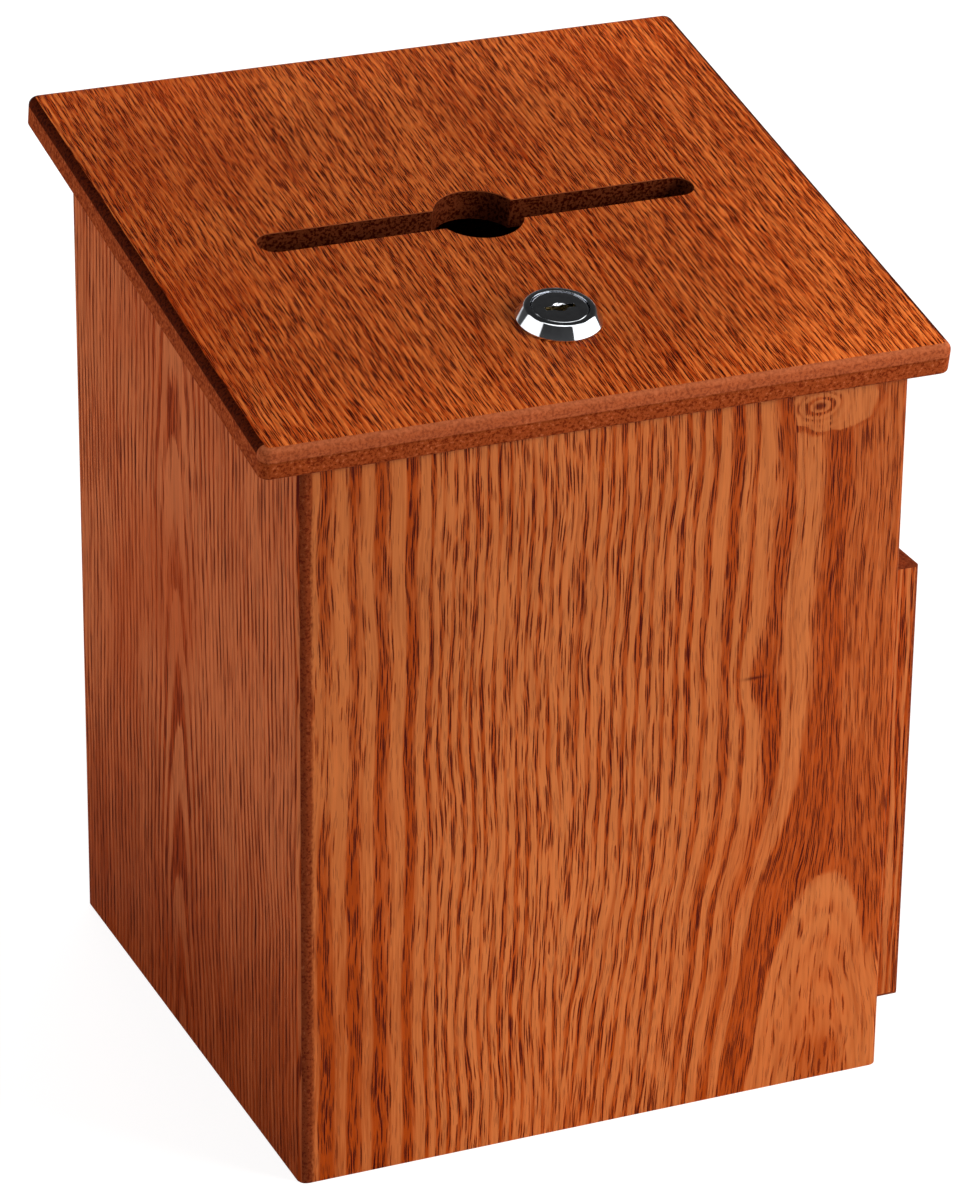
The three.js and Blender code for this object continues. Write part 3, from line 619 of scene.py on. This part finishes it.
def veneered(name, places, make_figure, thickness, seed, veneer, edge_stain_and_light):
    """A board's material: stained veneer outside, fibreboard at worn and cut edges, plain inside.

    places are functions for the place across the grain, along it, and the depth below the outer face.
    """
    look = Look(name)
    across, along, depth = (place(look) for place in places)
    figure = make_figure(look, across, along)
    layers = veneer_layers(look, veneer, figure, across, along, seed)

    wear = look.noise(across / 3, along / 9, seed + 6.5, 3) - 0.5
    worn = look.high(look.ramp(depth + 0.09 * wear, *SANDED_THROUGH), figure.edge)
    soaked_and_shaded, rubbed_and_highlit = edge_stain_and_light(look, figure, across, along, depth)
    layers = covered(look, worn, layers, core_layers(look, seed, soaked_and_shaded, rubbed_and_highlit))

    within = look.ramp(depth, *(thickness - below for below in INSIDE_FROM))
    layers = covered(look, within, layers, inside_layers(look, seed))
    return look.finish(*layers, gloss=veneer.gloss * (1 - 0.6 * worn))


def beyond(axis, place):
    """A function that gives how far a look's point lies past a place on an axis."""
    return lambda look: getattr(look, axis) - place


def short_of(axis, place):
    """A function that gives how far a look's point lies before a place on an axis."""
    return lambda look: place - getattr(look, axis)


def lid_distance(look):
    """Distance along the lid's slope, from the plane of the front face."""
    return (look.y + BODY_HALF) * math.cos(LID_SLOPE) + (look.z - LID_FOOT) * math.sin(LID_SLOPE)


def lid_depth(look):
    """Depth below the lid's top face."""
    top = LOCK_PLACE.dot(LID_NORMAL) / MM
    return top - look.y * LID_NORMAL.y - look.z * LID_NORMAL.z


def wood_materials():
    """A material for each veneered board, by the name of its CAD node."""
    up = beyond("z", 0)
    from_left, to_right = beyond("x", -BODY_HALF), short_of("x", BODY_HALF)
    from_front, to_back = beyond("y", -BODY_HALF), short_of("y", BODY_HALF)
    across_strip = beyond("x", 0)
    face_depth = short_of("x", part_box("pocket_face")[1].x / MM)
    front_depth = beyond("y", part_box("pocket_front_strip")[0].y / MM)
    back_depth = short_of("y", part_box("pocket_back_strip")[1].y / MM)
    floor_depth = beyond("z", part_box("pocket_floor_strip")[0].z / MM)
    boards = {
        "front_wall": ((from_left, up, from_front), front_figure, WALL, FRONT_VENEER),
        "left_wall": ((from_front, up, from_left), left_figure, WALL, SIDE_VENEER),
        "right_wall": ((from_front, up, to_right), right_figure, WALL, FRONT_VENEER),
        "back_wall": ((to_right, up, to_back), back_figure, WALL, FRONT_VENEER),
        "lid": ((beyond("x", LID_START), lid_distance, lid_depth), lid_figure, LID_THICKNESS, LID_VENEER),
        "pocket_face": ((from_front, up, face_depth), pocket_figure, POCKET_BOARD, FRONT_VENEER),
        "pocket_front_strip": ((across_strip, up, front_depth), strip_figure, POCKET_BOARD, FRONT_VENEER),
        "pocket_back_strip": ((across_strip, up, back_depth), strip_figure, POCKET_BOARD, FRONT_VENEER),
        "pocket_floor_strip": (
            (across_strip, beyond("y", 0), floor_depth), strip_figure, POCKET_BOARD, FRONT_VENEER,
        ),
    }
    made = {}
    for index, (node, (places, figure, thickness, veneer)) in enumerate(boards.items()):
        edge_stain_and_light = lid_stain_and_light if node == "lid" else wall_stain_and_shade
        seed = 1.5 + index
        made[node] = veneered(node + "_look", places, figure, thickness, seed, veneer, edge_stain_and_light)
    return made


def fibreboard_material():
    """Stained fibreboard with no veneer, for the base and the glue blocks."""
    look = Look("stained_fibreboard_look")
    return look.finish(*core_layers(look, 3.3), gloss=CORE_GLOSS)


# ------------------------------------------------------------------ metal

# Plated metal is partly dulled. The plug's face has a rounded rim and a dish the shape of a ball's cap.
PLATED = 0.7
FACE_RIM_HEIGHT = 3.6
FACE_RIM_RADIUS = 7.5
FACE_RIM_ROUND = 0.6
DISH_BALL = 2.8
DISH_DEPTH = 0.85

# Pale and dark colours, roughness, grain, seed, the axis across the machining lines, and metallic share.
METALS = {
    "chrome": (srgb(226, 228, 232), srgb(206, 208, 214), 0.05, 0.04, 1.1, "z", 1),
    "zinc": (srgb(204, 204, 200), srgb(160, 158, 150), 0.34, 0.12, 2.2, "z", PLATED),
    "brass": (srgb(222, 188, 112), srgb(168, 128, 64), 0.3, 0.1, 3.3, "x", PLATED),
}


def metal_material(name, pale, dark, roughness, grain, seed, axis, metallic):
    """Bright metal with faint machining lines, smudges and darker stains."""
    look = Look(name)
    along = getattr(look, axis)
    lines = look.noise(along / 0.05, seed, 0, 2) - 0.5
    smudges = look.noise(look.x / 3, look.y / 3, look.z / 3 + seed, 3)
    specks = look.noise(look.x / 0.4, look.y / 0.4, look.z / 0.4 + seed, 2)
    colour = look.blend(look.ramp(smudges, 0.35, 0.75), pale, dark)
    finish = roughness + 0.5 * roughness * (smudges - 0.5) + grain * look.ramp(specks, 0.55, 0.75)
    height = 0.004 * grain * lines + 0.002 * grain * specks
    return look.finish(colour, finish, height, metallic=metallic)


# ------------------------------------------------------------------ pieces

WELD = 1e-6
FLAT_ANGLE = math.radians(0.2)
SHARP_ANGLE = math.radians(32)

# How far sharp edges are rounded over.
WALL_EDGE = 0.3
LID_EDGE = 0.35
BLOCK_EDGE = 0.4
METAL_EDGE = 0.12
MITRE_REACH = 0.6


def welded(node):
    """A CAD node's mesh with its faces joined at their shared corners and flat stretches merged."""
    shape = bmesh.new()
    shape.from_mesh(frame["nodes"][node].data)
    bmesh.ops.remove_doubles(shape, verts=shape.verts, dist=WELD)
    bmesh.ops.dissolve_limit(shape, angle_limit=FLAT_ANGLE, verts=shape.verts, edges=shape.edges)
    return shape


def soften(shape, width, chosen, steps=2):
    """Rounds over the sharp edges whose middles are chosen."""
    edges = []
    for edge in shape.edges:
        if len(edge.link_faces) != 2 or edge.calc_face_angle(0) < SHARP_ANGLE:
            continue
        middle = (edge.verts[0].co + edge.verts[1].co) / (2 * MM)
        if chosen(middle):
            edges.append(edge)
    bmesh.ops.bevel(
        shape, geom=edges, offset=width * MM, offset_type="OFFSET", segments=steps, profile=0.5,
        affect="EDGES", clamp_overlap=True,
    )


def add_piece(name, shape, material, nodes, body):
    """A finished piece from a bmesh: smooth round stretches, crisp edges, riding on its CAD body."""
    bmesh.ops.triangulate(shape, faces=[f for f in shape.faces if len(f.verts) > 4], ngon_method="BEAUTY")
    bmesh.ops.recalc_face_normals(shape, faces=shape.faces)
    for face in shape.faces:
        face.smooth = True
    for edge in shape.edges:
        edge.smooth = len(edge.link_faces) == 2 and edge.calc_face_angle(0) < SHARP_ANGLE
    mesh = bpy.data.meshes.new(name)
    shape.to_mesh(mesh)
    shape.free()
    mesh.materials.append(material)
    piece = bpy.data.objects.new(name, mesh)
    bpy.context.scene.collection.objects.link(piece)
    weighted = piece.modifiers.new("flat_faces_stay_flat", "WEIGHTED_NORMAL")
    weighted.keep_sharp = True
    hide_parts(*nodes)
    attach(piece, body)


def everywhere(_middle):
    """Chooses every sharp edge."""
    return True


def not_on_mitre(middle):
    """The walls meet where x and y are the same distance from the middle, and stay sharp there."""
    return abs(abs(middle.x) - abs(middle.y)) > MITRE_REACH


def add_boards():
    """The carcass, its base and blocks, the card pocket and the lid."""
    made = wood_materials()
    for node in ("front_wall", "left_wall", "right_wall", "back_wall"):
        shape = welded(node)
        soften(shape, WALL_EDGE, not_on_mitre)
        add_piece(node + "_board", shape, made[node], [node], "box")
    for node in ("pocket_face", "pocket_front_strip", "pocket_back_strip", "pocket_floor_strip"):
        shape = welded(node)
        add_piece(node + "_board", shape, made[node], [node], "box")
    shape = welded("lid")
    soften(shape, LID_EDGE, everywhere)
    add_piece("lid_board", shape, made["lid"], ["lid"], "lid")
    core = fibreboard_material()
    for node in frame["nodes"]:
        if node == "base_board" or node.startswith("glue_block"):
            shape = welded(node)
            soften(shape, BLOCK_EDGE, everywhere)
            add_piece(node + "_piece", shape, core, [node], "box")


def body_of_node(node):
    """The body that the record puts a node on."""
    for body, nodes in frame["record"]["behaviour"]["bodies"].items():
        if node in nodes:
            return body
    raise ValueError(node)


def height_and_radius(middle):
    """Height of a point along the lock's axis from its place, and distance from that axis."""
    away = middle - LOCK_PLACE / MM
    height = away.dot(LID_NORMAL)
    return height, (away - height * LID_NORMAL).length


def on_face_rim(middle):
    """Chooses the edge around the plug's face."""
    height, radius = height_and_radius(middle)
    return height > FACE_RIM_HEIGHT and radius > FACE_RIM_RADIUS


def not_on_face_rim(middle):
    """Chooses the plug's other edges."""
    return not on_face_rim(middle)


def dished(shape):
    """Sinks a shallow round dish into the face of the plug, around the keyway."""
    top = max(height_and_radius(corner.co / MM)[0] for corner in shape.verts)
    ball = bmesh.new()
    bmesh.ops.create_uvsphere(ball, u_segments=64, v_segments=64, radius=DISH_BALL * MM)
    centre = LOCK_PLACE + LID_NORMAL * (top - DISH_DEPTH + DISH_BALL) * MM
    bmesh.ops.translate(ball, verts=ball.verts, vec=centre)
    holders = []
    for name, part in (("plug_blank", shape), ("dish_ball", ball)):
        mesh = bpy.data.meshes.new(name)
        part.to_mesh(mesh)
        part.free()
        holders.append(bpy.data.objects.new(name, mesh))
        bpy.context.scene.collection.objects.link(holders[-1])
    cut = holders[0].modifiers.new("dish", "BOOLEAN")
    cut.operation = "DIFFERENCE"
    cut.solver = "EXACT"
    cut.object = holders[1]
    result = bmesh.new()
    result.from_object(holders[0], bpy.context.evaluated_depsgraph_get())
    for holder in holders:
        mesh = holder.data
        bpy.data.objects.remove(holder)
        bpy.data.meshes.remove(mesh)
    return result


def add_metal():
    """Hinges, lock and strike plate, with softened edges."""
    looks = {slot: metal_material(slot + "_look", *settings) for slot, settings in METALS.items()}
    for node, source in frame["nodes"].items():
        slot = source.data.materials[0].name
        if slot not in looks:
            continue
        shape = welded(node)
        if node == "lock_plug":
            soften(shape, FACE_RIM_ROUND, on_face_rim, 4)
            soften(shape, METAL_EDGE, not_on_face_rim)
            shape = dished(shape)
        else:
            soften(shape, METAL_EDGE, everywhere)
        add_piece(node + "_metal", shape, looks[slot], [node], body_of_node(node))


# ------------------------------------------------------------------ stage

# The floor's edge length and the lamps' distances and sizes are in metres, and lamp powers in watts.
FLOOR_SIZE = 12
FLOOR_BOUNCE = 0.8
FLOOR_SHADE = 0.3
FLOOR_MIRRORED = 0.12
FLOOR_GLOW = 0.86
BACKDROP = 1.05
DAYLIGHT = 0.3

# Azimuth and half width in degrees, lowest and highest height as sines, and strength.
PANELS = (
    (-98, 30, 0.02, 0.75, 1.5),
    (60, 41, 0.02, 0.72, 2.2),
    (180, 45, 0.02, 0.22, 0.7),
)
PANEL_BLUR = 0.02
PANEL_RISE_BLUR = 0.03
OVERHEAD_FROM = (0.74, 0.82)
OVERHEAD_FRONT = (-0.15, -0.05)
OVERHEAD_STRENGTH = 2
DIM_SURROUNDINGS = (0.1, 0.025)

# Name, azimuth, elevation, distance, size and power.
LAMPS = (
    ("key", 48, 24, 1.1, 0.6, 12.5),
    ("side", -95, 10, 0.8, 0.4, 2.5),
    ("back", 165, 25, 1.1, 0.6, 3.5),
)
LAMP_AIM = Vector((0, 0, 0.12))


def ray_kinds(graph):
    """1 for what the camera sees directly, and 1 for what a glossy surface reflects."""
    path = graph.node("ShaderNodeLightPath")
    return Value(graph, path.outputs["Is Camera Ray"]), Value(graph, path.outputs["Is Glossy Ray"])


def add_floor():
    """A pale floor under the box, darker in reflections so that it doesn't wash out the wood."""
    bpy.ops.mesh.primitive_plane_add(size=FLOOR_SIZE, location=(0, 0, 0))
    floor = bpy.context.object
    floor.name = "floor"
    material = bpy.data.materials.new("pale_floor")
    material.use_nodes = True
    graph = Graph(material.node_tree)
    is_camera, is_glossy = ray_kinds(graph)
    paper = graph.node("ShaderNodeBsdfDiffuse")
    share = FLOOR_BOUNCE + is_camera * (FLOOR_SHADE - FLOOR_BOUNCE)
    share = share + is_glossy * (FLOOR_MIRRORED - FLOOR_BOUNCE)
    graph.feed(paper.inputs["Color"], graph.dim((1, 1, 1), share))
    glow = graph.node("ShaderNodeEmission")
    graph.feed(glow.inputs["Color"], (1, 1, 1, 1))
    graph.feed(glow.inputs["Strength"], FLOOR_GLOW * is_camera)
    mixed = graph.node("ShaderNodeAddShader")
    graph.feed(mixed.inputs[0], paper.outputs[0])
    graph.feed(mixed.inputs[1], glow.outputs[0])
    output = graph.node("ShaderNodeOutputMaterial")
    graph.feed(output.inputs["Surface"], mixed.outputs[0])
    floor.data.materials.append(material)


def panel(graph, east, north, height, azimuth, half_width, low, high, strength):
    """A soft-edged bright panel in the surroundings; azimuth 0 is in front."""
    turn = math.radians(azimuth)
    forward = -math.cos(turn)
    level = graph.root(east * east + north * north)
    facing = (east * math.sin(turn) + north * forward) / graph.high(level, 0.001)
    edge = math.cos(math.radians(half_width))
    side = graph.ramp(facing, edge - PANEL_BLUR, edge + PANEL_BLUR)
    rise = graph.ramp(height, low - PANEL_RISE_BLUR, low + PANEL_RISE_BLUR)
    rise = rise * graph.ramp(height, high - PANEL_RISE_BLUR, high + PANEL_RISE_BLUR, 1, 0)
    return strength * side * rise


def add_surroundings():
    """White to the camera, soft daylight for the surfaces, and studio panels for reflections."""
    world = bpy.data.worlds.new("studio")
    bpy.context.scene.world = world
    world.use_nodes = True
    graph = Graph(world.node_tree)
    direction = graph.node("ShaderNodeTexCoord").outputs["Generated"]
    split = graph.node("ShaderNodeSeparateXYZ")
    graph.feed(split.inputs[0], direction)
    east, north, height = (Value(graph, socket) for socket in split.outputs)
    panels = 0
    for settings in PANELS:
        panels = panels + panel(graph, east, north, height, *settings)
    overhead = graph.ramp(height, *OVERHEAD_FROM) * graph.ramp(north, *OVERHEAD_FRONT, 1, 0)
    panels = panels + OVERHEAD_STRENGTH * overhead
    reflected = graph.ramp(height, 0, 0.8, *DIM_SURROUNDINGS) + panels
    is_camera, is_glossy = ray_kinds(graph)
    strength = DAYLIGHT + is_glossy * (reflected - DAYLIGHT)
    strength = strength + is_camera * (BACKDROP - strength)
    background = graph.node("ShaderNodeBackground")
    graph.feed(background.inputs["Color"], (1, 1, 1, 1))
    graph.feed(background.inputs["Strength"], strength)
    output = graph.node("ShaderNodeOutputWorld")
    graph.feed(output.inputs["Surface"], background.outputs[0])


def add_lamp(name, azimuth, elevation, distance, size, power):
    """A square area lamp aimed at the middle of the box and left out of reflections."""
    lamp = bpy.data.lights.new(name, "AREA")
    lamp.size = size
    lamp.energy = power
    holder = bpy.data.objects.new(name, lamp)
    bpy.context.scene.collection.objects.link(holder)
    turn, lift = math.radians(azimuth), math.radians(elevation)
    away = Vector((math.sin(turn) * math.cos(lift), -math.cos(turn) * math.cos(lift), math.sin(lift)))
    holder.location = LAMP_AIM + away * distance
    holder.rotation_euler = away.to_track_quat("Z", "Y").to_euler()
    holder.visible_glossy = False


def add_camera():
    """From the front left and above the lid, through a long lens."""
    turn, lift, roll = (math.radians(a) for a in (CAMERA_AZIMUTH, CAMERA_ELEVATION, CAMERA_ROLL))
    ahead = Vector((math.sin(turn) * math.cos(lift), math.cos(turn) * math.cos(lift), -math.sin(lift)))
    level = Vector((math.cos(turn), -math.sin(turn), 0))
    upright = level.cross(ahead)
    right = level * math.cos(roll) + upright * math.sin(roll)
    up = upright * math.cos(roll) - level * math.sin(roll)
    place = Vector(CAMERA_AIM) * MM - ahead * CAMERA_DISTANCE * MM
    lens = bpy.data.cameras.new("camera")
    lens.lens = CAMERA_LENS
    lens.shift_x, lens.shift_y = CAMERA_SHIFT
    camera = bpy.data.objects.new("camera", lens)
    turned = Matrix((right, up, -ahead)).transposed().to_4x4()
    camera.matrix_world = Matrix.Translation(place) @ turned
    bpy.context.scene.collection.objects.link(camera)
    bpy.context.scene.camera = camera


def set_view():
    """Colours are shown as they are, with no film look."""
    settings = bpy.context.scene.view_settings
    settings.view_transform = "Standard"
    settings.look = "None"
    settings.exposure = 0
    settings.gamma = 1


add_boards()
add_metal()
add_floor()
add_surroundings()
for settings in LAMPS:
    add_lamp(*settings)
add_camera()
set_view()
